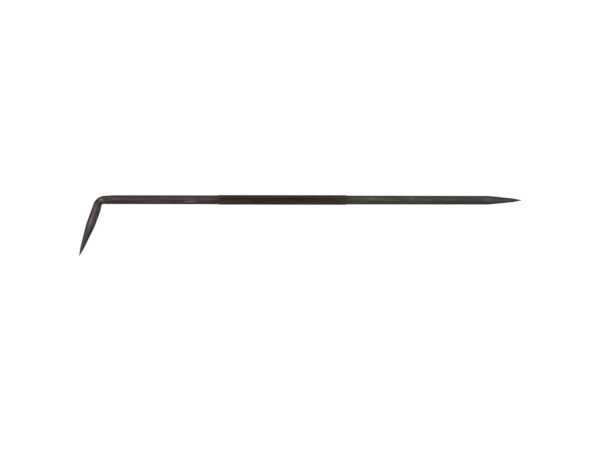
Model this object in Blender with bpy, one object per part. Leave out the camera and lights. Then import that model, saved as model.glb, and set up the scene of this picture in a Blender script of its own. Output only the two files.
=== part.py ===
"""Double-pointed steel scriber: a knurled grip with a straight point screwed into one end
and a bent point into the other.

The tool lies on its side. +X runs along the bar to the straight point, the bent leg reaches
towards -Y, and +Z is up. The origin is the centre of the bounding box at its lowest point.
Each piece is turned about the bar's axis, then knurled, threaded or bent as the real one is.
"""

import math

import bmesh
import bpy

# Driving dimensions, in metres.
OVERALL_LENGTH = 0.250  # along the bar, from the bent tip to the straight tip
SHANK_RADIUS = 0.00255
SHANK_TAPER = 0.00008  # how much thinner, in radius, the straight shank is at its point
GRIP_LENGTH = 0.074
GRIP_CENTRE_X = -0.0102
GRIP_RADIUS = 0.0028  # over the knurl
KNURL_DEPTH = 0.00032
KNURL_COUNT = 18  # diamonds round the grip
KNURL_ANGLE = math.radians(30)  # between the grooves and the axis
KNURL_RUN_OUT = 0.0013  # length of the slope at each end of the knurl

BEND_ANGLE = math.radians(70)
BEND_RADIUS = 0.0045  # of the centre line
OUTSIDE_THINNING = 0.12  # the share by which the bend's outer half is drawn thinner at most
OUTSIDE_THINNED = (-0.0055, 0.0065)  # the stretch that is, from the start of the bend
INSIDE_THINNING = 0.22  # and the same for its inner half, which the former has flattened
INSIDE_THINNED = (-0.0005, 0.0090)
BEND_SPREAD = 0.04  # the share by which the bar is thicker there the other way
LEG_LENGTH = 0.0338  # from where the two axes cross to the bent tip

CONE_LENGTH = 0.0140  # the long ground taper
TIP_LENGTH = 0.0044  # the steeper point in front of it
TIP_BASE_RADIUS = 0.00105
TIP_RADIUS = 0.00015  # of the very end, which use has blunted

THREAD_ROOT_RADIUS = 0.0012  # of the M3 stud
THREAD_DEPTH = 0.00027
THREAD_PITCH = 0.0005
THREAD_LENGTH = 0.0040
NECK_RADIUS = 0.0011  # relief between the thread and the shoulder
NECK_LENGTH = 0.00075
STUD_CHAMFER = 0.0003
SHOULDER_CHAMFER = 0.0001
SEAT_GAP = 0.0001  # between a point's shoulder and the grip's end face

TAP_START = -0.0055  # the tapped stretch of a bore, measured from the point's shoulder
TAP_END = -0.0005
TAP_CLEARANCE = 0.00012  # in radius, between the two threads
BORE_DEPTH = 0.0070
COUNTERSINK = 0.00035
DRILL_SLOPE = math.tan(math.radians(31))  # a 118 degree drill leaves this end

SHANK_SEGMENTS = 24
BEND_RINGS = 20
THREAD_STEPS = 4  # rings for each turn of the thread
WELD = 1e-6  # points closer than this are one point

# Worked out from the dimensions above.
GRIP_SEGMENTS = 2 * KNURL_COUNT
POINT_LENGTH = CONE_LENGTH + TIP_LENGTH
LEG_REACH = LEG_LENGTH * math.sin(BEND_ANGLE)
AXIS_Y = (GRIP_RADIUS + LEG_REACH) / 2 - GRIP_RADIUS
AXIS_Z = GRIP_RADIUS
STRAIGHT_TIP_X = OVERALL_LENGTH / 2
CORNER_X = LEG_LENGTH * math.cos(BEND_ANGLE) - OVERALL_LENGTH / 2
SEAT_OFFSET = GRIP_LENGTH / 2 + SEAT_GAP  # from the grip's centre to a shoulder
THREAD_END = -NECK_LENGTH  # the stud's thread, measured from the shoulder
THREAD_START = THREAD_END - THREAD_LENGTH


def material(name, colour, roughness, metallic):
    made = bpy.data.materials.new(name)
    made.use_nodes = True
    shader = made.node_tree.nodes["Principled BSDF"]
    shader.inputs["Base Color"].default_value = (*colour, 1.0)
    shader.inputs["Roughness"].default_value = roughness
    shader.inputs["Metallic"].default_value = metallic
    return made


def turned(profile, segments):
    """A solid of revolution about X from (along, radius) pairs that start and end on the axis."""
    blank = bmesh.new()
    points = [blank.verts.new((along, 0.0, radius)) for along, radius in profile]
    edges = [blank.edges.new(pair) for pair in zip(points, points[1:])]
    bmesh.ops.spin(
        blank,
        geom=points + edges,
        axis=(1, 0, 0),
        cent=(0, 0, 0),
        angle=math.tau,
        steps=segments,
        use_merge=True,
    )
    bmesh.ops.remove_doubles(blank, verts=blank.verts, dist=WELD)
    bmesh.ops.recalc_face_normals(blank, faces=blank.faces)
    return blank


def polar(point):
    """A point's angle about X, from +Y, and its distance from X."""
    return math.atan2(point.z, point.y), math.hypot(point.y, point.z)


def set_radius(point, radius):
    scale = radius / math.hypot(point.y, point.z)
    point.y *= scale
    point.z *= scale


def steps_between(start, end, count):
    """Count + 1 evenly spaced values from start to end."""
    return [start + (end - start) * step / count for step in range(count + 1)]


def knurl_rings():
    """The places along the grip of the knurl's rings, each half a diamond from the next."""
    half = GRIP_LENGTH / 2 - KNURL_RUN_OUT
    half_diamond = math.pi * GRIP_RADIUS / KNURL_COUNT / math.tan(KNURL_ANGLE)
    return steps_between(-half, half, 2 * round(half / half_diamond))


def roll_knurl(blank, rings):
    """Presses in the valleys between the diamonds: peaks and valleys alternate round and along."""
    column_angle = math.tau / GRIP_SEGMENTS
    ring_spacing = rings[1] - rings[0]
    for vert in blank.verts:
        angle, radius = polar(vert.co)
        if radius < GRIP_RADIUS - WELD:
            continue
        column = round((angle - math.pi / 2) / column_angle)
        ring = round((vert.co.x - rings[0]) / ring_spacing)
        if (column + ring) % 2:
            set_radius(vert.co, GRIP_RADIUS - KNURL_DEPTH)


def split_along_valleys(blank):
    """Cuts each face of the knurl from valley to valley, so that each diamond is a clean pyramid."""
    for face in list(blank.faces):
        valleys = [vert for vert in face.verts if polar(vert.co)[1] < GRIP_RADIUS - KNURL_DEPTH / 2]
        if len(face.verts) == 4 and len(valleys) == 2:
            bmesh.utils.face_split(face, *valleys)


def knurled_grip_mesh():
    end = GRIP_LENGTH / 2
    face_radius = GRIP_RADIUS - KNURL_DEPTH
    rings = knurl_rings()
    knurl = [(along, GRIP_RADIUS) for along in rings]
    profile = [(-end, 0.0), (-end, face_radius), *knurl, (end, face_radius), (end, 0.0)]
    blank = turned(profile, GRIP_SEGMENTS)
    roll_knurl(blank, rings)
    split_along_valleys(blank)
    return blank


def thread_rings(start, end):
    """The places along a thread of its rings, each a quarter of a turn from the next."""
    return steps_between(start, end, round((end - start) / THREAD_PITCH * THREAD_STEPS))


def cut_thread(blank, start, end):
    """Raises a right-hand thread from its root, fading out over the first and last turn."""
    for vert in blank.verts:
        turns_from_end = min(vert.co.x - start, end - vert.co.x) / THREAD_PITCH
        if turns_from_end <= 0.0:
            continue
        angle, radius = polar(vert.co)
        phase = (vert.co.x / THREAD_PITCH - angle / math.tau) % 1.0
        height = THREAD_DEPTH * (1.0 - abs(2.0 * phase - 1.0))
        set_radius(vert.co, radius + height * min(1.0, turns_from_end))


def tapped_bore_mesh():
    """What a drill, a tap and a countersink take out of the grip to let a point's stud in."""
    bore = THREAD_ROOT_RADIUS + TAP_CLEARANCE
    profile = [
        (-BORE_DEPTH - bore * DRILL_SLOPE, 0.0),
        (-BORE_DEPTH, bore),
        *((along, bore) for along in thread_rings(TAP_START, TAP_END)),
        (-COUNTERSINK, bore),
        (0.0, bore + COUNTERSINK),
        (0.0, 0.0),
    ]
    blank = turned(profile, SHANK_SEGMENTS)
    cut_thread(blank, TAP_START, TAP_END)
    return blank


def point_profile(length, shank):
    """A point as turned: stud, neck, shoulder, the shank's (along, radius) pairs, cone and tip."""
    return [
        (THREAD_START - STUD_CHAMFER, 0.0),
        (THREAD_START - STUD_CHAMFER, THREAD_ROOT_RADIUS - STUD_CHAMFER),
        *((along, THREAD_ROOT_RADIUS) for along in thread_rings(THREAD_START, THREAD_END)),
        (THREAD_END + THREAD_PITCH / 2, NECK_RADIUS),
        (0.0, NECK_RADIUS),
        (0.0, SHANK_RADIUS - SHOULDER_CHAMFER),
        (SHOULDER_CHAMFER, SHANK_RADIUS),
        *shank,
        (length - TIP_LENGTH, TIP_BASE_RADIUS),
        (length - TIP_RADIUS, TIP_RADIUS),
        (length, 0.0),
    ]


def straight_point_mesh():
    length = STRAIGHT_TIP_X - GRIP_CENTRE_X - SEAT_OFFSET
    shank = [(length - POINT_LENGTH, SHANK_RADIUS - SHANK_TAPER)]
    blank = turned(point_profile(length, shank), SHANK_SEGMENTS)
    cut_thread(blank, THREAD_START, THREAD_END)
    return blank


def hump(place, stretch):
    """0 outside a stretch of the bar and 1 in its middle, with smooth slopes between."""
    low, high = stretch
    share = min(1.0, max(0.0, (place - low) / (high - low)))
    return math.sin(math.pi * share) ** 2


def bend(blank, start):
    """Bends the bar towards +Y from start onwards, flattening it a little as that happens."""
    arc_length = BEND_RADIUS * BEND_ANGLE
    for vert in blank.verts:
        past = vert.co.x - start
        if past <= OUTSIDE_THINNED[0]:
            continue
        if vert.co.y > 0.0:
            vert.co.y *= 1.0 - INSIDE_THINNING * hump(past, INSIDE_THINNED)
        else:
            vert.co.y *= 1.0 - OUTSIDE_THINNING * hump(past, OUTSIDE_THINNED)
        vert.co.z *= 1.0 + BEND_SPREAD * hump(past, INSIDE_THINNED)
        angle = BEND_ANGLE * min(1.0, max(0.0, past / arc_length))
        beyond = max(0.0, past - arc_length)
        arm = BEND_RADIUS - vert.co.y
        vert.co.x = min(vert.co.x, start) + arm * math.sin(angle) + beyond * math.cos(angle)
        vert.co.y = BEND_RADIUS - arm * math.cos(angle) + beyond * math.sin(angle)


def bent_point_mesh():
    tangent = BEND_RADIUS * math.tan(BEND_ANGLE / 2)
    arc_length = BEND_RADIUS * BEND_ANGLE
    bend_start = GRIP_CENTRE_X - SEAT_OFFSET - CORNER_X - tangent
    length = bend_start + arc_length + LEG_LENGTH - tangent
    worked = steps_between(
        bend_start + OUTSIDE_THINNED[0], bend_start + INSIDE_THINNED[1], BEND_RINGS
    )
    shank = [(along, SHANK_RADIUS) for along in [*worked, length - POINT_LENGTH]]
    blank = turned(point_profile(length, shank), SHANK_SEGMENTS)
    cut_thread(blank, THREAD_START, THREAD_END)
    bend(blank, bend_start)
    return blank


def piece(name, blank, finish, smooth_angle):
    mesh = bpy.data.meshes.new(name)
    blank.to_mesh(mesh)
    blank.free()
    mesh.shade_smooth()
    mesh.set_sharp_from_angle(angle=smooth_angle)
    mesh.materials.append(finish)
    made = bpy.data.objects.new(name, mesh)
    bpy.context.scene.collection.objects.link(made)
    return made


def seat(mounted, grip, end):
    """Puts a point, or the tool that cuts its bore, at the grip's +X end (1) or -X end (-1)."""
    mounted.parent = grip
    mounted.location.x = end * SEAT_OFFSET
    mounted.rotation_euler.z = 0.0 if end > 0 else math.pi


def tap(grip, end, finish):
    """Drills and taps one end of the grip."""
    side = "straight" if end > 0 else "bent"
    cutter = piece(f"{side}_end_tap", tapped_bore_mesh(), finish, math.radians(30))
    seat(cutter, grip, end)
    cutter.hide_render = True
    cutter.display_type = "WIRE"
    cut = grip.modifiers.new(f"{side}_end_bore", "BOOLEAN")
    cut.operation = "DIFFERENCE"
    cut.object = cutter


def main():
    for old in list(bpy.data.objects):
        bpy.data.objects.remove(old)

    oxide = material("black_oxide_steel", (0.060, 0.052, 0.048), 0.45, 0.85)
    knurl_oxide = material("knurled_oxide_steel", (0.032, 0.026, 0.021), 0.60, 0.75)

    grip = piece("knurled_grip", knurled_grip_mesh(), knurl_oxide, math.radians(20))
    grip.location = (GRIP_CENTRE_X, AXIS_Y, AXIS_Z)
    straight = piece("straight_point", straight_point_mesh(), oxide, math.radians(30))
    bent = piece("bent_point", bent_point_mesh(), oxide, math.radians(30))
    for point, end in ((straight, 1), (bent, -1)):
        tap(grip, end, knurl_oxide)
        seat(point, grip, end)


main()
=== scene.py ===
"""The looks of a double-ended steel scriber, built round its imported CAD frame.

The three turned pieces are made again with fine surfaces: a rolled diamond knurl, soft ground
tapers, a flattened bend and threads. Every vertex also keeps its place on the bar as it was
before bending, in an attribute that the materials read, so streaks and grinding marks follow
the metal round the bend. Sizes are in metres and angles in radians, apart from the marks' table.
"""

import math
from dataclasses import dataclass

import bpy
import numpy as np
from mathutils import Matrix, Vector

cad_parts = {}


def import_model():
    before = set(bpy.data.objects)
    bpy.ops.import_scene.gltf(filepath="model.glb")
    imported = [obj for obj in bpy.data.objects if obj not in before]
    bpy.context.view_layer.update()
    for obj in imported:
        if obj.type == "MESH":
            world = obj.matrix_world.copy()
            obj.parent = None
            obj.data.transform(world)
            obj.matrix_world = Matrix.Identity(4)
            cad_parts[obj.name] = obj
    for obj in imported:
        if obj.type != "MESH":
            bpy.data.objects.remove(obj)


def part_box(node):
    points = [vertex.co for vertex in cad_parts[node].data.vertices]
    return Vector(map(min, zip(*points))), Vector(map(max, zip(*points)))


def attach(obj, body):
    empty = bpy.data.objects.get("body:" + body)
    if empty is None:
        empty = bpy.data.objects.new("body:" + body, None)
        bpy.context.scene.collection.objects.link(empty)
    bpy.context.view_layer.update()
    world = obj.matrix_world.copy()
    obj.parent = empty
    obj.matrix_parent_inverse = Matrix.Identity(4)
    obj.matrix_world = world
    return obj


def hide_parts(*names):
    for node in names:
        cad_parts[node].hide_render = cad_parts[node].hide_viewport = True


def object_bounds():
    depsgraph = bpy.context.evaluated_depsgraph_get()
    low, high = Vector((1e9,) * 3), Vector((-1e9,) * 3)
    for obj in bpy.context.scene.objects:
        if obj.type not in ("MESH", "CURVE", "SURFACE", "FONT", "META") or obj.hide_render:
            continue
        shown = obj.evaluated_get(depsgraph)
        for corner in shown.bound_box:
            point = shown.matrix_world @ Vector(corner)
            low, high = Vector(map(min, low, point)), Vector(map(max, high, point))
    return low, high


MM = 0.001

# Shapes that the frame's boxes don't give. They repeat the CAD model's dimensions, apart from
# SEATED, CONE_BLEND, KNURL_STEPS, CREST_HEIGHT and FLAT_ENOUGH, which only this model has.
SEAT_GAP = 0.1 * MM
SEATED = 0.09 * MM  # how far the shoulders reach into that gap, which the real seats lack
SHOULDER_CHAMFER = 0.1 * MM
SHANK_TAPER = 0.08 * MM

BEND_ANGLE = math.radians(70)
BEND_RADIUS = 4.5 * MM
# The share of its thickness that each half of the bar loses in the bend, the stretch from the
# bend's start over which it does, and the share by which the bar spreads sideways instead.
OUTSIDE_THINNING = 0.12
OUTSIDE_THINNED = (-5.5 * MM, 6.5 * MM)
INSIDE_THINNING = 0.22
INSIDE_THINNED = (-0.5 * MM, 9.0 * MM)
BEND_SPREAD = 0.04
LEG_LENGTH = 33.8 * MM  # from the corner where the two axes would cross

CONE_LENGTH = 14.0 * MM
TIP_LENGTH = 4.4 * MM
TIP_BASE_RADIUS = 1.05 * MM
TIP_RADIUS = 0.15 * MM
CONE_BLEND = 0.10 * MM  # how far the grinding rounds the corners of its profile

KNURL_COUNT = 18
KNURL_ANGLE = math.radians(30)
KNURL_DEPTH = 0.32 * MM
KNURL_RUN_OUT = 1.3 * MM
KNURL_STEPS = 4  # vertices from the bottom of a groove to a crest
CREST_HEIGHT = 0.82  # where the crests are flattened, as a share of a sharp knurl
FLAT_ENOUGH = 0.001 * MM  # a fold in a face that needs no edge of its own

THREAD_ROOT_RADIUS = 1.2 * MM
THREAD_DEPTH = 0.27 * MM
THREAD_PITCH = 0.5 * MM
THREAD_START = -4.75 * MM
THREAD_END = -0.75 * MM
NECK_RADIUS = 1.1 * MM
STUD_CHAMFER = 0.3 * MM
TAP_START = -5.5 * MM
TAP_END = -0.5 * MM
TAP_CLEARANCE = 0.12 * MM
BORE_DEPTH = 7.0 * MM
COUNTERSINK = 0.35 * MM
DRILL_SLOPE = math.tan(math.radians(31))

SHANK_SEGMENTS = 96
THREAD_SEGMENTS = 48
GRIP_SEGMENTS = 2 * KNURL_COUNT * KNURL_STEPS
THREAD_STEPS = 8  # rings in one turn of a thread
BEND_RINGS = 80
TAPER_RINGS = 70
TAPER_LEAD = 2.0 * MM  # how far before the taper its closely set rings begin
TAPER_CROWDING = 1.6  # above 1, the rings stand closer together towards the tip
CHAMFER_SUPPORT = 1.0 * MM  # a ring here keeps the chamfer's shading off the shank
POINT_SHARP = math.radians(30)  # edges that fold by more than this are shaded sharp
GRIP_SHARP = math.radians(35)

# Light and dark marks on the oxide, two of them lines of painted shade and highlight: the place
# along the bar in mm, the turn in degrees from the top towards +Y, the half length and half width
# in mm, and the gain at its middle, which is below 1 where the mark is dark.
MARKS_AND_PAINTED_LIGHT = (
    # The bend and the bent side: handling lines along the bar, two of them painted shade and
    # highlight instead, and a bright rub near the grip.
    (-126.5, 2, 5.0, 0.55, 1.30),
    (-120.0, 6, 3.6, 0.50, 1.34),
    (-116.5, -6, 2.4, 0.50, 1.40),
    (-112.0, 16, 1.5, 0.70, 2.10),
    (-111.6, -16, 1.7, 0.70, 2.40),
    (-109.4, 6, 1.4, 0.80, 0.50),
    (-114.2, 30, 1.2, 0.70, 0.60),
    (-105.5, 3, 2.4, 0.45, 1.30),
    (-103.0, -39, 7.0, 0.6, 0.72),
    (-80.0, -9, 34.0, 0.34, 0.74),
    (-80.0, 31, 40.0, 0.45, 1.34),
    # Painted shade: a dark line laid over the lamp's highlight along the top of the bar.
    (-80.0, 16, 40.0, 0.36, 0.72),
    (-91.5, 6, 5.0, 0.40, 1.26),
    (-84.0, 3, 4.5, 0.40, 1.16),
    # Painted highlight: a light line along the lower side of the bar.
    (-78.0, -24, 36.0, 0.50, 1.45),
    (-62.4, -26, 5.0, 0.62, 3.00),
    (-60.0, -10, 3.4, 0.40, 1.20),
    (-53.5, 2, 4.2, 0.45, 1.34),
    # The straight side, from the grip to the point.
    (33.5, 26, 3.6, 0.6, 1.12),
    (36.5, 10, 4.0, 0.6, 1.14),
    (40.2, 18, 2.2, 0.7, 1.40),
    (42.6, 7, 2.4, 0.55, 1.55),
    (46.0, 4, 2.2, 0.5, 1.25),
    (41.0, 30, 9.0, 0.55, 1.16),
    (53.0, 48, 9.0, 0.5, 1.20),
    (59.0, 2, 12.0, 0.34, 0.86),
    (76.0, -39, 32.0, 0.5, 1.22),
    (69.0, 14, 7.0, 0.35, 0.86),
    (80.0, -2, 8.0, 0.40, 1.14),
    (63.3, 26, 2.0, 1.3, 1.38),
    (84.0, -4, 10.0, 0.35, 1.26),
    (86.0, 9, 11.0, 0.30, 0.88),
    (89.0, 22, 7.0, 0.35, 1.14),
    (94.0, -17, 11.0, 0.35, 0.86),
    (104.8, 14, 3.4, 0.9, 1.34),
    (107.0, -3, 3.2, 0.5, 1.40),
)

# How the finishes are laid on.
NOISE_RANGE = (0.3, 0.7)  # where nearly all of a noise texture's values lie
GROUND_LENGTH = 19.0 * MM  # from a tip to the furthest that its ground metal can reach
GROUND_FADE = 1.4 * MM
GROUND_RAGGED = 3.0 * MM  # how far the end of the grinding can fall short of that
CONE_SLOPE = 0.10  # a cone's radius grows by about this share of the distance from its tip
CONE_ROOT = 0.6 * MM  # the cone's radius at the tip, had it no steeper point in front of it
BENT_HALF = 5.5 * MM  # how far the worked metal reaches from the middle of the bend
BENT_FULLY = 2.0 * MM
HANDLED_LENGTH = 4.5 * MM  # the darkened stretch of a shank beside the grip
HIGHLIGHT_LINE = 1.42 * MM  # from the middle of the grip to a painted highlight line

# The view from above that shows the tool's true outline.
FRAME_WIDTH = 339.5 * MM  # what the image shows at the height of the tool
LENS = 100.0
SENSOR = 36.0
VIEW_SHIFT = Vector((-0.1 * MM, 0.3 * MM, 0.0))  # from the middle of the tool
VIEW_ROLL = math.radians(0.09)
CLIP_END = 10.0

# The studio: a tent of light, one soft lamp and a sheet of white paper.
SKY_TURN = (-0.30, 0.40)  # where the tent brightens, as the sine of the height above level
SKY_LEVELS = (0.40, 0.80)
BRIGHT_SIDE = (-0.6, 0.8, 0.0)
SIDE_LEVELS = (0.90, 1.10)
KEY_OFFSET = Vector((-0.7, 0.6, 1.2))
KEY_SIZE = 0.7
KEY_POWER = 6.0
FLOOR_HALF = 4.0
PAPER_COLOUR = (0.05, 0.05, 0.05)
PAPER_GLOW = 0.98


@dataclass
class Bar:
    """The places along the straight, unbent bar that the materials need."""

    radius: float
    bent_tip: float
    arc_end: float
    bend_start: float
    left_seat: float
    right_seat: float
    straight_tip: float


def srgb(red, green, blue):
    """A display colour, 0 to 255, as Blender's linear one."""
    shares = [value / 255 for value in (red, green, blue)]
    return tuple(s / 12.92 if s <= 0.04045 else ((s + 0.055) / 1.055) ** 2.4 for s in shares)


# Turned shapes -----------------------------------------------------------------------------


def ring(along, radius, count):
    """A closed ring of points round the X axis. The radius may differ from point to point."""
    angle = math.tau * np.arange(count) / count
    points = np.empty((count, 3))
    points[:, 0] = along
    points[:, 1] = radius * np.cos(angle)
    points[:, 2] = radius * np.sin(angle)
    return points


def apex(along):
    return np.array([(along, 0.0, 0.0)])


def bridge(first, first_count, second, second_count):
    """Faces between two rings, one of which may have a whole number of times more points."""
    count = min(first_count, second_count)
    if count == 1:
        count = max(first_count, second_count)
        if first_count == 1:
            return [(first, second + (i + 1) % count, second + i) for i in range(count)]
        return [(first + i, first + (i + 1) % count, second) for i in range(count)]
    near, far = first_count // count, second_count // count
    faces = []
    for i in range(count):
        side = [first + (i * near + k) % first_count for k in range(near + 1)]
        other = [second + (i * far + k) % second_count for k in range(far + 1)]
        faces.append((*side, *reversed(other)))
    return faces


def loft(rings):
    """All points and faces of a closed body skinned over its rings, from one apex to another."""
    faces = []
    start = 0
    for near, far in zip(rings, rings[1:]):
        faces += bridge(start, len(near), start + len(near), len(far))
        start += len(near)
    return np.concatenate(rings), faces


def thread_radius(along, start, end, clearance):
    """The radii round one ring of a right-hand thread that fades in and out over a turn."""
    turns_from_end = min(along - start, end - along) / THREAD_PITCH
    share_round = np.arange(THREAD_SEGMENTS) / THREAD_SEGMENTS
    phase = (along / THREAD_PITCH - share_round) % 1.0
    height = THREAD_DEPTH * (1.0 - np.abs(2.0 * phase - 1.0))
    return THREAD_ROOT_RADIUS + clearance + height * min(1.0, max(0.0, turns_from_end))


def thread_rings(start, end, clearance):
    count = round((end - start) / THREAD_PITCH * THREAD_STEPS)
    return [
        ring(along, thread_radius(along, start, end, clearance), THREAD_SEGMENTS)
        for along in np.linspace(start, end, count + 1)
    ]


def stud_rings():
    """The threaded stud, its neck and the shoulder, from the stud's end to the shank."""
    face = THREAD_START - STUD_CHAMFER
    neck = THREAD_END + THREAD_PITCH / 2
    return [
        apex(face),
        ring(face, THREAD_ROOT_RADIUS - STUD_CHAMFER, THREAD_SEGMENTS),
        *thread_rings(THREAD_START, THREAD_END, 0.0),
        ring(neck, NECK_RADIUS, THREAD_SEGMENTS),
        ring(-SEATED, NECK_RADIUS, THREAD_SEGMENTS),
    ]


def smaller_of(a, b):
    """The smaller of two radii, with the corner between them rounded."""
    near = np.clip(0.5 + 0.5 * (b - a) / CONE_BLEND, 0.0, 1.0)
    return b * (1.0 - near) + a * near - CONE_BLEND * near * (1.0 - near)


def taper_radius(from_tip, shank_radius):
    """The radius of a ground point at a distance from its tip: shank, long cone, short tip."""
    cone_slope = (shank_radius - TIP_BASE_RADIUS) / CONE_LENGTH
    cone = TIP_BASE_RADIUS + (from_tip - TIP_LENGTH) * cone_slope
    tip = TIP_RADIUS + from_tip * (TIP_BASE_RADIUS - TIP_RADIUS) / TIP_LENGTH
    needle = smaller_of(shank_radius, smaller_of(cone, tip))
    in_ball = max(0.0, 1.0 - from_tip / TIP_RADIUS)
    return needle * math.sqrt(1.0 - in_ball**2)


def shank_rings(length, radius_near, radius_far, extra=()):
    """The shank and its ground point, from the shoulder near 0 to the tip at length."""
    taper = CONE_LENGTH + TIP_LENGTH
    from_tip = (taper + TAPER_LEAD) * np.linspace(1.0, 0.0, TAPER_RINGS) ** TAPER_CROWDING
    straight = [SHOULDER_CHAMFER - SEATED, CHAMFER_SUPPORT, *extra]
    rings = [ring(-SEATED, radius_near - SHOULDER_CHAMFER, SHANK_SEGMENTS)]
    for along in straight:
        rings.append(ring(along, radius_near, SHANK_SEGMENTS))
    for distance in from_tip[:-1]:
        rings.append(ring(length - distance, taper_radius(distance, radius_far), SHANK_SEGMENTS))
    rings.append(apex(length))
    return rings


def straight_point(length, radius):
    return loft([*stud_rings(), *shank_rings(length, radius, radius - SHANK_TAPER)])


def hump(places, stretch):
    """0 outside a stretch of the bar and 1 in its middle, with smooth slopes between."""
    low, high = stretch
    share = np.clip((places - low) / (high - low), 0.0, 1.0)
    return np.sin(math.pi * share) ** 2


def bend(points, start):
    """Bends the bar towards +Y from start onwards, flattening it a little as that happens."""
    arc_length = BEND_RADIUS * BEND_ANGLE
    past = points[:, 0] - start
    inside = 1.0 - INSIDE_THINNING * hump(past, INSIDE_THINNED)
    outside = 1.0 - OUTSIDE_THINNING * hump(past, OUTSIDE_THINNED)
    arm = BEND_RADIUS - points[:, 1] * np.where(points[:, 1] > 0.0, inside, outside)
    angle = BEND_ANGLE * np.clip(past / arc_length, 0.0, 1.0)
    beyond = np.maximum(past - arc_length, 0.0)
    bent = points.copy()
    bent[:, 0] = np.minimum(points[:, 0], start) + arm * np.sin(angle) + beyond * np.cos(angle)
    bent[:, 1] = BEND_RADIUS - arm * np.cos(angle) + beyond * np.sin(angle)
    bent[:, 2] *= 1.0 + BEND_SPREAD * hump(past, INSIDE_THINNED)
    return bent


def bent_point(corner, radius):
    """The bent point, straight and bent. The corner is where the two axes cross."""
    tangent = BEND_RADIUS * math.tan(BEND_ANGLE / 2)
    arc_length = BEND_RADIUS * BEND_ANGLE
    start = corner - tangent
    length = start + arc_length + LEG_LENGTH - tangent
    worked = start + np.linspace(OUTSIDE_THINNED[0], INSIDE_THINNED[1], BEND_RINGS)
    unbent, faces = loft([*stud_rings(), *shank_rings(length, radius, radius, worked)])
    return unbent, bend(unbent, start), faces, start


def groove_height(turns):
    """How high the metal stands beside a groove: 0 in the groove, 1 half way to the next."""
    return 2.0 * np.abs(turns - np.round(turns))


def knurl_radius(along, radius, crest_pitch):
    """The radii round one ring of the knurl, where two families of helical grooves cross."""
    round_turns = KNURL_COUNT * np.arange(GRIP_SEGMENTS) / GRIP_SEGMENTS
    along_turns = along / crest_pitch
    height = np.minimum(
        groove_height(round_turns + along_turns), groove_height(round_turns - along_turns)
    )
    height = np.minimum(height, CREST_HEIGHT) / CREST_HEIGHT
    return radius - KNURL_DEPTH * (1.0 - height)


def split_along_grooves(points, faces):
    """Cuts each face that a groove crosses from corner to corner, along the groove's bottom."""
    radius = np.hypot(points[:, 1], points[:, 2])
    cut = []
    for face in faces:
        if len(face) != 4:
            cut.append(face)
            continue
        a, b, c, d = face
        difference = radius[a] + radius[c] - radius[b] - radius[d]
        if abs(difference) < FLAT_ENOUGH:
            cut.append(face)
        elif difference < 0.0:
            cut += [(a, b, c), (a, c, d)]
        else:
            cut += [(b, c, d), (b, d, a)]
    return cut


def bore_rings(end):
    """One tapped bore of the grip, from its bottom to the mouth in the face at end."""
    bore = THREAD_ROOT_RADIUS + TAP_CLEARANCE
    return [
        apex(-BORE_DEPTH - bore * DRILL_SLOPE),
        ring(-BORE_DEPTH, bore, THREAD_SEGMENTS),
        *thread_rings(TAP_START, TAP_END, TAP_CLEARANCE),
        ring(-COUNTERSINK, bore, THREAD_SEGMENTS),
        ring(end, bore + COUNTERSINK + end, THREAD_SEGMENTS),
    ]


def knurled_grip(half_length, radius):
    """The grip, centred on 0, with a bore at each end that matches the studs' threads."""
    shoulder = half_length + SEAT_GAP
    bore = bore_rings(-SEAT_GAP)
    right = [points + (shoulder, 0.0, 0.0) for points in reversed(bore)]
    left = [points * (-1.0, -1.0, 1.0) - (shoulder, 0.0, 0.0) for points in bore]
    crest_pitch = math.tau * radius / KNURL_COUNT / math.tan(KNURL_ANGLE)
    knurl_half = half_length - KNURL_RUN_OUT
    count = 2 * KNURL_STEPS * round(2 * knurl_half / crest_pitch)
    knurl = [
        ring(along, knurl_radius(along, radius, crest_pitch), GRIP_SEGMENTS)
        for along in np.linspace(-knurl_half, knurl_half, count + 1)
    ]
    face = ring(half_length, radius - KNURL_DEPTH, GRIP_SEGMENTS)
    points, faces = loft([*left, face * (-1.0, 1.0, 1.0), *knurl, face, *right])
    return points, split_along_grooves(points, faces)


def add_piece(name, points, bar, faces, finish, sharp_angle):
    """Makes the object. bar is each point's place on the straight bar, for the material."""
    mesh = bpy.data.meshes.new(name)
    mesh.from_pydata(points.tolist(), [], faces)
    places = mesh.attributes.new("bar", "FLOAT_VECTOR", "POINT")
    places.data.foreach_set("vector", bar.astype(np.float32).ravel())
    mesh.shade_smooth()
    mesh.set_sharp_from_angle(angle=sharp_angle)
    mesh.materials.append(finish)
    made = bpy.data.objects.new(name, mesh)
    bpy.context.scene.collection.objects.link(made)
    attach(made, "root")
    return made


# Materials ---------------------------------------------------------------------------------


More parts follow.
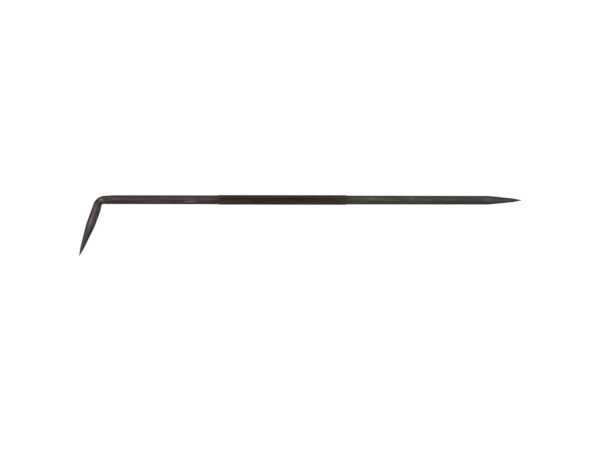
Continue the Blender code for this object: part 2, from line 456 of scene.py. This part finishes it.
class Recipe:
    """A material's node tree, with a short call for each kind of node that it is built of."""

    def __init__(self, name):
        self.material = bpy.data.materials.new(name)
        self.material.use_nodes = True
        self.nodes = self.material.node_tree.nodes
        self.links = self.material.node_tree.links
        self.shader = self.nodes["Principled BSDF"]
        attribute = self.nodes.new("ShaderNodeAttribute")
        attribute.attribute_name = "bar"
        self.bar = attribute.outputs["Vector"]
        apart = self.nodes.new("ShaderNodeSeparateXYZ")
        self.links.new(self.bar, apart.inputs["Vector"])
        self.along, self.side, self.height = apart.outputs

    def feed(self, socket, value):
        if isinstance(value, bpy.types.NodeSocket):
            self.links.new(value, socket)
        elif isinstance(value, tuple) and socket.type == "RGBA":
            socket.default_value = (*value, 1.0)
        else:
            socket.default_value = value

    def maths(self, operation, first, second=0.0):
        node = self.nodes.new("ShaderNodeMath")
        node.operation = operation
        self.feed(node.inputs[0], first)
        self.feed(node.inputs[1], second)
        return node.outputs[0]

    def product(self, *factors):
        result = factors[0]
        for factor in factors[1:]:
            result = self.maths("MULTIPLY", result, factor)
        return result

    def vector_maths(self, operation, first, second):
        node = self.nodes.new("ShaderNodeVectorMath")
        node.operation = operation
        self.feed(node.inputs[0], first)
        self.feed(node.inputs[1], second)
        return node

    def sheared(self, slope):
        """The place on the bar, with marks that should lean by a slope laid straight."""
        together = self.nodes.new("ShaderNodeCombineXYZ")
        lean = self.maths("MULTIPLY", self.along, slope)
        self.feed(together.inputs["X"], self.along)
        self.feed(together.inputs["Y"], self.maths("SUBTRACT", self.side, lean))
        self.feed(together.inputs["Z"], self.height)
        return together.outputs["Vector"]

    def noise(self, per_metre, detail=2.0, roughness=0.5, place=None):
        """Noise with so many features a metre along the bar, across it and in height."""
        scaled = self.vector_maths("MULTIPLY", place or self.bar, per_metre)
        node = self.nodes.new("ShaderNodeTexNoise")
        node.inputs["Scale"].default_value = 1.0
        node.inputs["Detail"].default_value = detail
        node.inputs["Roughness"].default_value = roughness
        self.links.new(scaled.outputs["Vector"], node.inputs["Vector"])
        return node.outputs["Fac"]

    def span(self, value, low, high, to_low=0.0, to_high=1.0):
        """Turns low to high into to_low to to_high, smoothly and no further."""
        node = self.nodes.new("ShaderNodeMapRange")
        node.interpolation_type = "SMOOTHSTEP"
        self.feed(node.inputs["Value"], value)
        self.feed(node.inputs["From Min"], low)
        self.feed(node.inputs["From Max"], high)
        self.feed(node.inputs["To Min"], to_low)
        self.feed(node.inputs["To Max"], to_high)
        return node.outputs["Result"]

    def varied(self, noise, to_low, to_high):
        """Turns the range of a noise into to_low to to_high."""
        return self.span(noise, *NOISE_RANGE, to_low, to_high)

    def patch(self, along, turn, half_length, half_width, radius):
        """1 at a place on the surface, 0 beyond an ellipse round it. Turn is from the top to +Y."""
        centre = (along, radius * math.sin(turn), radius * math.cos(turn))
        offset = self.vector_maths("SUBTRACT", self.bar, centre).outputs["Vector"]
        size = (half_length, half_width, half_width)
        scaled = self.vector_maths("DIVIDE", offset, size).outputs["Vector"]
        length = self.vector_maths("LENGTH", scaled, (0.0, 0.0, 0.0)).outputs["Value"]
        return self.span(length, 1.0, 0.3)

    def mixed(self, share, first, second, kind="RGBA"):
        """First where share is 0 and second where it is 1. Colours are RGBA, numbers FLOAT."""
        node = self.nodes.new("ShaderNodeMix")
        node.data_type = kind
        sockets = [socket for socket in node.inputs if socket.enabled]
        for socket, value in zip(sockets, (share, first, second)):
            self.feed(socket, value)
        return next(socket for socket in node.outputs if socket.enabled)

    def shaded(self, colour, shade):
        """A colour made darker or lighter by a shade, which leaves it alone at 1."""
        node = self.nodes.new("ShaderNodeVectorMath")
        node.operation = "SCALE"
        self.feed(node.inputs[0], colour)
        self.feed(node.inputs["Scale"], shade)
        return node.outputs["Vector"]

    def colours_along(self, stops):
        """A colour that runs along the bar through (place, colour) stops."""
        low, high = stops[0][0], stops[-1][0]
        node = self.nodes.new("ShaderNodeMapRange")
        self.links.new(self.along, node.inputs["Value"])
        node.inputs["From Min"].default_value = low
        node.inputs["From Max"].default_value = high
        ramp = self.nodes.new("ShaderNodeValToRGB")
        self.links.new(node.outputs["Result"], ramp.inputs["Fac"])
        elements = ramp.color_ramp.elements
        elements[0].color = (*stops[0][1], 1.0)
        elements[1].color = (*stops[-1][1], 1.0)
        for place, colour in stops[1:-1]:
            made = elements.new((place - low) / (high - low))
            made.color = (*colour, 1.0)
        return ramp.outputs["Color"]

    def bump(self, height, distance, under=None):
        """The surface's normal with a relief of a distance in metres laid over what is under."""
        node = self.nodes.new("ShaderNodeBump")
        node.inputs["Distance"].default_value = distance
        self.links.new(height, node.inputs["Height"])
        if under is not None:
            self.links.new(under, node.inputs["Normal"])
        return node.outputs["Normal"]

    def finish(self, colour, roughness, normal, metallic):
        self.feed(self.shader.inputs["Base Color"], colour)
        self.feed(self.shader.inputs["Roughness"], roughness)
        self.feed(self.shader.inputs["Metallic"], metallic)
        self.links.new(normal, self.shader.inputs["Normal"])
        return self.material


def bar_colours(recipe, bar):
    """The oxide's colour along the bar, and bare steel gone grey at the points."""
    stops = (
        (bar.bent_tip, srgb(74, 73, 70)),
        (bar.bent_tip + 15 * MM, srgb(78, 74, 70)),
        (bar.bent_tip + 18 * MM, srgb(88, 78, 76)),
        (bar.arc_end - 2 * MM, srgb(84, 76, 74)),
        (bar.arc_end + 2 * MM, srgb(62, 60, 54)),
        (bar.bend_start + 2 * MM, srgb(68, 60, 56)),
        (bar.bend_start + 8 * MM, srgb(65, 55, 55)),
        (-60 * MM, srgb(68, 57, 56)),
        (30 * MM, srgb(75, 70, 62)),
        (58 * MM, srgb(73, 69, 63)),
        (90 * MM, srgb(72, 67, 63)),
        (102 * MM, srgb(74, 68, 66)),
        (bar.straight_tip - 16 * MM, srgb(77, 74, 72)),
        (bar.straight_tip, srgb(78, 77, 75)),
    )
    colour = recipe.colours_along(stops)
    # The -Y half is a little olive, but not where the straight side leaves the grip.
    olive = recipe.span(recipe.side, -0.3 * MM, -1.6 * MM, 0.0, 0.35)
    near_grip = recipe.span(recipe.along, 60 * MM, 30 * MM)
    straight_side = recipe.span(recipe.along, 0.0, 10 * MM)
    not_olive = recipe.product(near_grip, straight_side)
    olive = recipe.mixed(not_olive, olive, 0.0, kind="FLOAT")
    return recipe.mixed(olive, colour, srgb(56, 53, 47))


def marked_and_painted(recipe, shade, streak, bar):
    """The shade with the marks of use and the lines of painted shade and highlight laid over it,
    each broken up by the bar's streaks.
    """
    broken = recipe.span(streak, 0.25, 0.6, 0.75, 1.1)
    for along, turn, half_length, half_width, gain in MARKS_AND_PAINTED_LIGHT:
        mark = recipe.patch(
            along * MM, math.radians(turn), half_length * MM, half_width * MM, bar.radius
        )
        change = recipe.product(mark, broken, gain - 1.0)
        shade = recipe.product(shade, recipe.maths("ADD", change, 1.0))
    return shade


def from_nearer_tip(recipe, bar):
    """The distance along the bar from the nearer of its two tips."""
    return recipe.maths(
        "MINIMUM",
        recipe.maths("SUBTRACT", recipe.along, bar.bent_tip),
        recipe.maths("SUBTRACT", bar.straight_tip, recipe.along),
    )


def where_ground(recipe, from_tip):
    """1 on the ground points, whose grinding ends raggedly, and 0 on the rest of the bar."""
    ragged = recipe.noise((300, 900, 900), detail=3.0)
    edge = recipe.maths("ADD", from_tip, recipe.product(ragged, GROUND_RAGGED))
    return recipe.span(edge, GROUND_LENGTH, GROUND_LENGTH - GROUND_FADE)


def where_bent(recipe, bar):
    """1 in the middle of the bend and 0 away from it."""
    middle = (bar.bend_start + bar.arc_end) / 2
    from_middle = recipe.maths("ABSOLUTE", recipe.maths("SUBTRACT", recipe.along, middle))
    return recipe.span(from_middle, BENT_HALF, BENT_FULLY)


def shank_shade(recipe, streak, mottle):
    """Streaks from drawing, under a mottled oxide."""
    fine = recipe.noise((160, 5000, 5000), detail=2.0)
    return recipe.product(
        recipe.varied(streak, 0.80, 1.46),
        recipe.varied(fine, 0.90, 1.10),
        recipe.varied(mottle, 0.86, 1.26),
    )


def leg_shade(recipe, shank, painted_inner_shade):
    """The shank's shade with rubs that cross the leg at a slant, and painted shade on its inner
    side.
    """
    oblique = recipe.noise((90, 1000, 700), detail=3.0, place=recipe.sheared(0.45))
    return recipe.product(shank, recipe.span(oblique, 0.35, 0.65, 0.72, 1.44), painted_inner_shade)


def bend_shade(recipe, mottle, painted_inner_shade):
    """Oxide that broke up into blotches when the bar was bent, with painted shade on its inner
    side.
    """
    blotch = recipe.noise((520, 900, 900), detail=3.0, roughness=0.6)
    return recipe.product(
        recipe.span(blotch, 0.36, 0.62, 0.62, 1.55),
        recipe.span(mottle, 0.3, 0.68, 0.75, 1.2),
        painted_inner_shade,
    )


def ground_shade(recipe, rings, mottle, from_tip):
    """Grinding rings on a cone, with painted shade on its flanks and a faint painted highlight
    along its middle.
    """
    # Painted shade: darker towards both sides of the cone's outline, a touch lighter along its
    # middle.
    cone_radius = recipe.maths("ADD", recipe.product(from_tip, CONE_SLOPE), CONE_ROOT)
    across = recipe.maths("DIVIDE", recipe.maths("ABSOLUTE", recipe.side), cone_radius)
    return recipe.product(
        recipe.varied(rings, 0.90, 1.34),
        recipe.varied(mottle, 0.86, 1.14),
        recipe.span(across, 0.2, 0.6, 1.04, 0.66),
    )


def scratched(recipe, shade):
    """The shade with bright scratches over it that lean both ways."""
    one_way = recipe.noise((45, 6500, 6500), 0.0, place=recipe.sheared(0.22))
    other_way = recipe.noise((60, 5500, 5500), 0.0, place=recipe.sheared(-0.12))
    scratch = recipe.maths(
        "MAXIMUM", recipe.span(one_way, 0.70, 0.78), recipe.span(other_way, 0.71, 0.79)
    )
    return recipe.product(shade, recipe.span(scratch, 0.0, 1.0, 1.0, 1.35))


def handled(recipe, shade, bar):
    """The shade with the last few millimetres before the grip darkened by handling."""
    for seat, outward in ((bar.left_seat, -1), (bar.right_seat, 1)):
        end = seat + outward * HANDLED_LENGTH
        shade = recipe.product(shade, recipe.span(recipe.along, seat, end, 0.80, 1.0))
    return shade


def blackened_steel(bar):
    """Drawn bar under a worn black oxide, with points that were ground and have gone dull, and
    painted shade and highlight.
    """
    recipe = Recipe("blackened_steel")
    streak = recipe.noise((55, 1200, 1200), detail=4.0, roughness=0.62)
    mottle = recipe.noise((170, 750, 750), detail=4.0, roughness=0.65)
    rings = recipe.noise((4200, 150, 150), detail=3.0, roughness=0.6)

    from_tip = from_nearer_tip(recipe, bar)
    ground = where_ground(recipe, from_tip)
    bent = where_bent(recipe, bar)
    on_leg = recipe.span(recipe.along, bar.arc_end + 1.0 * MM, bar.arc_end - 2.0 * MM)
    # Painted shade: the inner side of the bend and leg darkens towards its outline, and the outer
    # side of the leg more so.
    painted_inner_shade = recipe.span(recipe.side, -0.2 * MM, -1.2 * MM, 1.0, 0.85)
    painted_outer_shade = recipe.span(recipe.side, 0.4 * MM, 1.8 * MM, 1.0, 0.55)

    on_shank = shank_shade(recipe, streak, mottle)
    crossed = leg_shade(recipe, on_shank, painted_inner_shade)
    shade = recipe.mixed(on_leg, on_shank, crossed, kind="FLOAT")
    blotched = bend_shade(recipe, mottle, painted_inner_shade)
    shade = recipe.mixed(bent, shade, blotched, kind="FLOAT")
    on_cone = ground_shade(recipe, rings, mottle, from_tip)
    shade = recipe.mixed(ground, shade, on_cone, kind="FLOAT")
    shade = recipe.product(shade, recipe.mixed(on_leg, 1.0, painted_outer_shade, kind="FLOAT"))
    shade = marked_and_painted(recipe, shade, streak, bar)
    shade = scratched(recipe, shade)
    shade = handled(recipe, shade, bar)
    colour = recipe.shaded(bar_colours(recipe, bar), shade)

    roughness = recipe.varied(streak, 0.52, 0.38)
    ground_roughness = recipe.varied(rings, 0.44, 0.33)
    roughness = recipe.mixed(ground, roughness, ground_roughness, kind="FLOAT")

    drawn = recipe.bump(streak, 0.008 * MM)
    pitted = recipe.bump(mottle, 0.015 * MM, under=drawn)
    normal = recipe.bump(recipe.product(rings, ground), 0.012 * MM, under=pitted)
    return recipe.finish(colour, roughness, normal, 0.7)


def painted_highlight_lines(recipe, from_middle):
    """Painted highlight: light lines along the grip, one each side of its middle."""
    from_line = recipe.maths("ABSOLUTE", recipe.maths("SUBTRACT", from_middle, HIGHLIGHT_LINE))
    return recipe.span(from_line, 0.55 * MM, 0.12 * MM, 0.93, 1.70)


def where_worn_ends(recipe, bar):
    """1 at the two ends of the grip, which the hand has worn, and 0 along its middle."""
    left_end = recipe.span(recipe.along, bar.left_seat + 5 * MM, bar.left_seat)
    right_end = recipe.span(recipe.along, bar.right_seat - 9 * MM, bar.right_seat)
    return recipe.maths("MAXIMUM", left_end, right_end)


def knurled_steel(bar, grip_radius):
    """Matte oxide over the knurl: dirt and painted shade in its grooves, crests polished by the
    hand, painted sheen and highlight lines.
    """
    recipe = Recipe("knurled_black_steel")
    brown, olive = srgb(50, 36, 25), srgb(55, 45, 30)
    sheen_grey, groove_dirt_and_shade = srgb(46, 42, 36), srgb(30, 23, 18)
    bare_crest, worn_end = srgb(84, 73, 62), srgb(66, 59, 52)

    round_bar = recipe.vector_maths("MULTIPLY", recipe.bar, (0.0, 1.0, 1.0)).outputs["Vector"]
    out = recipe.vector_maths("LENGTH", round_bar, (0.0, 0.0, 0.0)).outputs["Value"]
    crest_foot = grip_radius - 0.10 * MM
    flank = recipe.span(out, grip_radius - KNURL_DEPTH, crest_foot)
    crest = recipe.span(out, crest_foot, grip_radius - 0.03 * MM)

    from_middle = recipe.maths("ABSOLUTE", recipe.side)
    # Painted sheen: greyer towards both sides of the grip's outline.
    painted_edge_sheen = recipe.span(from_middle, 0.9 * MM, 1.9 * MM, 0.0, 0.85)
    wear = recipe.noise((50, 500, 500), detail=3.0)
    worn = recipe.product(crest, recipe.varied(wear, 0.3, 1.0))
    colour = recipe.mixed(recipe.span(recipe.along, -20 * MM, 20 * MM), brown, olive)
    colour = recipe.mixed(painted_edge_sheen, colour, sheen_grey)
    # Dirt and painted shade: darker down in the grooves.
    colour = recipe.mixed(flank, groove_dirt_and_shade, colour)
    colour = recipe.mixed(worn, colour, bare_crest)
    colour = recipe.mixed(recipe.product(where_worn_ends(recipe, bar), 0.6), colour, worn_end)

    streak = recipe.noise((45, 900, 900), detail=3.0)
    mottle = recipe.noise((180, 500, 500), detail=3.0)
    grain = recipe.noise((1500, 1500, 1500), detail=2.0)
    shade = recipe.product(
        painted_highlight_lines(recipe, from_middle),
        recipe.varied(streak, 0.72, 1.28),
        recipe.varied(mottle, 0.82, 1.18),
        recipe.varied(grain, 0.88, 1.12),
    )
    colour = recipe.shaded(colour, shade)

    normal = recipe.bump(grain, 0.012 * MM)
    roughness = recipe.mixed(crest, 0.66, 0.46, kind="FLOAT")
    return recipe.finish(colour, roughness, normal, 0.5)


# Studio ------------------------------------------------------------------------------------


def world_share(world, direction, axis, span, values):
    """A light level that runs between two values as the direction turns towards an axis."""
    nodes, links = world.node_tree.nodes, world.node_tree.links
    towards = nodes.new("ShaderNodeVectorMath")
    towards.operation = "DOT_PRODUCT"
    towards.inputs[1].default_value = axis
    links.new(direction, towards.inputs[0])
    level = nodes.new("ShaderNodeMapRange")
    level.interpolation_type = "SMOOTHSTEP"
    level.inputs["From Min"].default_value, level.inputs["From Max"].default_value = span
    level.inputs["To Min"].default_value, level.inputs["To Max"].default_value = values
    links.new(towards.outputs["Value"], level.inputs["Value"])
    return level.outputs["Result"]


def light_world():
    """A tent of soft light, brighter towards the upper left and darker below the horizon."""
    world = bpy.data.worlds.new("studio")
    bpy.context.scene.world = world
    world.use_nodes = True
    nodes, links = world.node_tree.nodes, world.node_tree.links
    direction = nodes.new("ShaderNodeTexCoord").outputs["Generated"]
    above = world_share(world, direction, (0.0, 0.0, 1.0), SKY_TURN, SKY_LEVELS)
    beside = world_share(world, direction, BRIGHT_SIDE, (-1.0, 1.0), SIDE_LEVELS)
    both = nodes.new("ShaderNodeMath")
    both.operation = "MULTIPLY"
    links.new(above, both.inputs[0])
    links.new(beside, both.inputs[1])
    # The camera sees plain white behind the floor's edge.
    seen = nodes.new("ShaderNodeMath")
    seen.operation = "MAXIMUM"
    links.new(both.outputs[0], seen.inputs[0])
    links.new(nodes.new("ShaderNodeLightPath").outputs["Is Camera Ray"], seen.inputs[1])
    links.new(seen.outputs[0], nodes["Background"].inputs["Color"])


def add_softbox(name, place, target, size, power):
    lamp = bpy.data.lights.new(name, "AREA")
    lamp.shape = "DISK"
    lamp.size = size
    lamp.energy = power
    made = bpy.data.objects.new(name, lamp)
    made.location = place
    made.rotation_euler = (target - place).to_track_quat("-Z", "Y").to_euler()
    bpy.context.scene.collection.objects.link(made)


def white_paper():
    """A matte sheet that glows almost white, so that next to no shadow shows on it."""
    paper = bpy.data.materials.new("white_paper")
    paper.use_nodes = True
    shader = paper.node_tree.nodes["Principled BSDF"]
    shader.inputs["Base Color"].default_value = (*PAPER_COLOUR, 1.0)
    shader.inputs["Roughness"].default_value = 0.9
    shader.inputs["Specular IOR Level"].default_value = 0.0
    shader.inputs["Emission Color"].default_value = (1.0, 1.0, 1.0, 1.0)
    shader.inputs["Emission Strength"].default_value = PAPER_GLOW
    return paper


def add_floor(height):
    signs = ((-1, -1), (1, -1), (1, 1), (-1, 1))
    mesh = bpy.data.meshes.new("floor")
    corners = [(x * FLOOR_HALF, y * FLOOR_HALF, height) for x, y in signs]
    mesh.from_pydata(corners, [], [(0, 1, 2, 3)])
    mesh.materials.append(white_paper())
    floor = bpy.data.objects.new("floor", mesh)
    floor.visible_diffuse = False
    floor.visible_glossy = False
    bpy.context.scene.collection.objects.link(floor)


def add_camera(middle):
    data = bpy.data.cameras.new("camera")
    data.lens = LENS
    data.sensor_width = SENSOR
    data.clip_end = CLIP_END
    camera = bpy.data.objects.new("camera", data)
    camera.location = middle + VIEW_SHIFT + Vector((0.0, 0.0, FRAME_WIDTH * LENS / SENSOR))
    camera.rotation_euler.z = VIEW_ROLL
    bpy.context.scene.collection.objects.link(camera)
    bpy.context.scene.camera = camera
    bpy.context.scene.view_settings.view_transform = "Standard"


def turned_left(points, seat):
    """Points turned half way round Z, so that they run to the left from a seat."""
    return points * (-1.0, -1.0, 1.0) + (seat, 0.0, 0.0)


def main():
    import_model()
    cad_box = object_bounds()
    grip_low, grip_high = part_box("knurled_grip")
    straight_low, straight_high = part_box("straight_point")
    axis = (grip_low + grip_high) / 2
    axis_offset = np.array((0.0, axis.y, axis.z))
    half_grip = (grip_high.x - grip_low.x) / 2
    grip_radius = (grip_high.z - grip_low.z) / 2
    radius = (straight_high.y - straight_low.y) / 2
    right_seat = axis.x + half_grip + SEAT_GAP
    left_seat = axis.x - half_grip - SEAT_GAP

    # The bent tip lies as far to the left of the frame's middle as the straight one to the right.
    corner_x = LEG_LENGTH * math.cos(BEND_ANGLE) - straight_high.x
    unbent, bent, faces, bend_start = bent_point(left_seat - corner_x, radius)
    bar = turned_left(unbent, left_seat)
    places = Bar(
        radius=radius,
        bent_tip=bar[:, 0].min(),
        arc_end=left_seat - bend_start - BEND_RADIUS * BEND_ANGLE,
        bend_start=left_seat - bend_start,
        left_seat=left_seat,
        right_seat=right_seat,
        straight_tip=straight_high.x,
    )
    steel = blackened_steel(places)
    points = turned_left(bent, left_seat) + axis_offset
    hook = add_piece("bent_scriber_point", points, bar, faces, steel, POINT_SHARP)
    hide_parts("bent_point")

    points, faces = straight_point(straight_high.x - right_seat, radius)
    bar = points + (right_seat, 0.0, 0.0)
    points = bar + axis_offset
    needle = add_piece("straight_scriber_point", points, bar, faces, steel, POINT_SHARP)
    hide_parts("straight_point")

    points, faces = knurled_grip(half_grip, grip_radius)
    bar = points + (axis.x, 0.0, 0.0)
    finish = knurled_steel(places, grip_radius)
    grip = add_piece("diamond_knurled_grip", bar + axis_offset, bar, faces, finish, GRIP_SHARP)
    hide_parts("knurled_grip")

    light_world()
    middle = (cad_box[0] + cad_box[1]) / 2
    add_softbox("key", middle + KEY_OFFSET, middle, KEY_SIZE, KEY_POWER)
    add_floor(cad_box[0].z)
    add_camera(middle)


main()
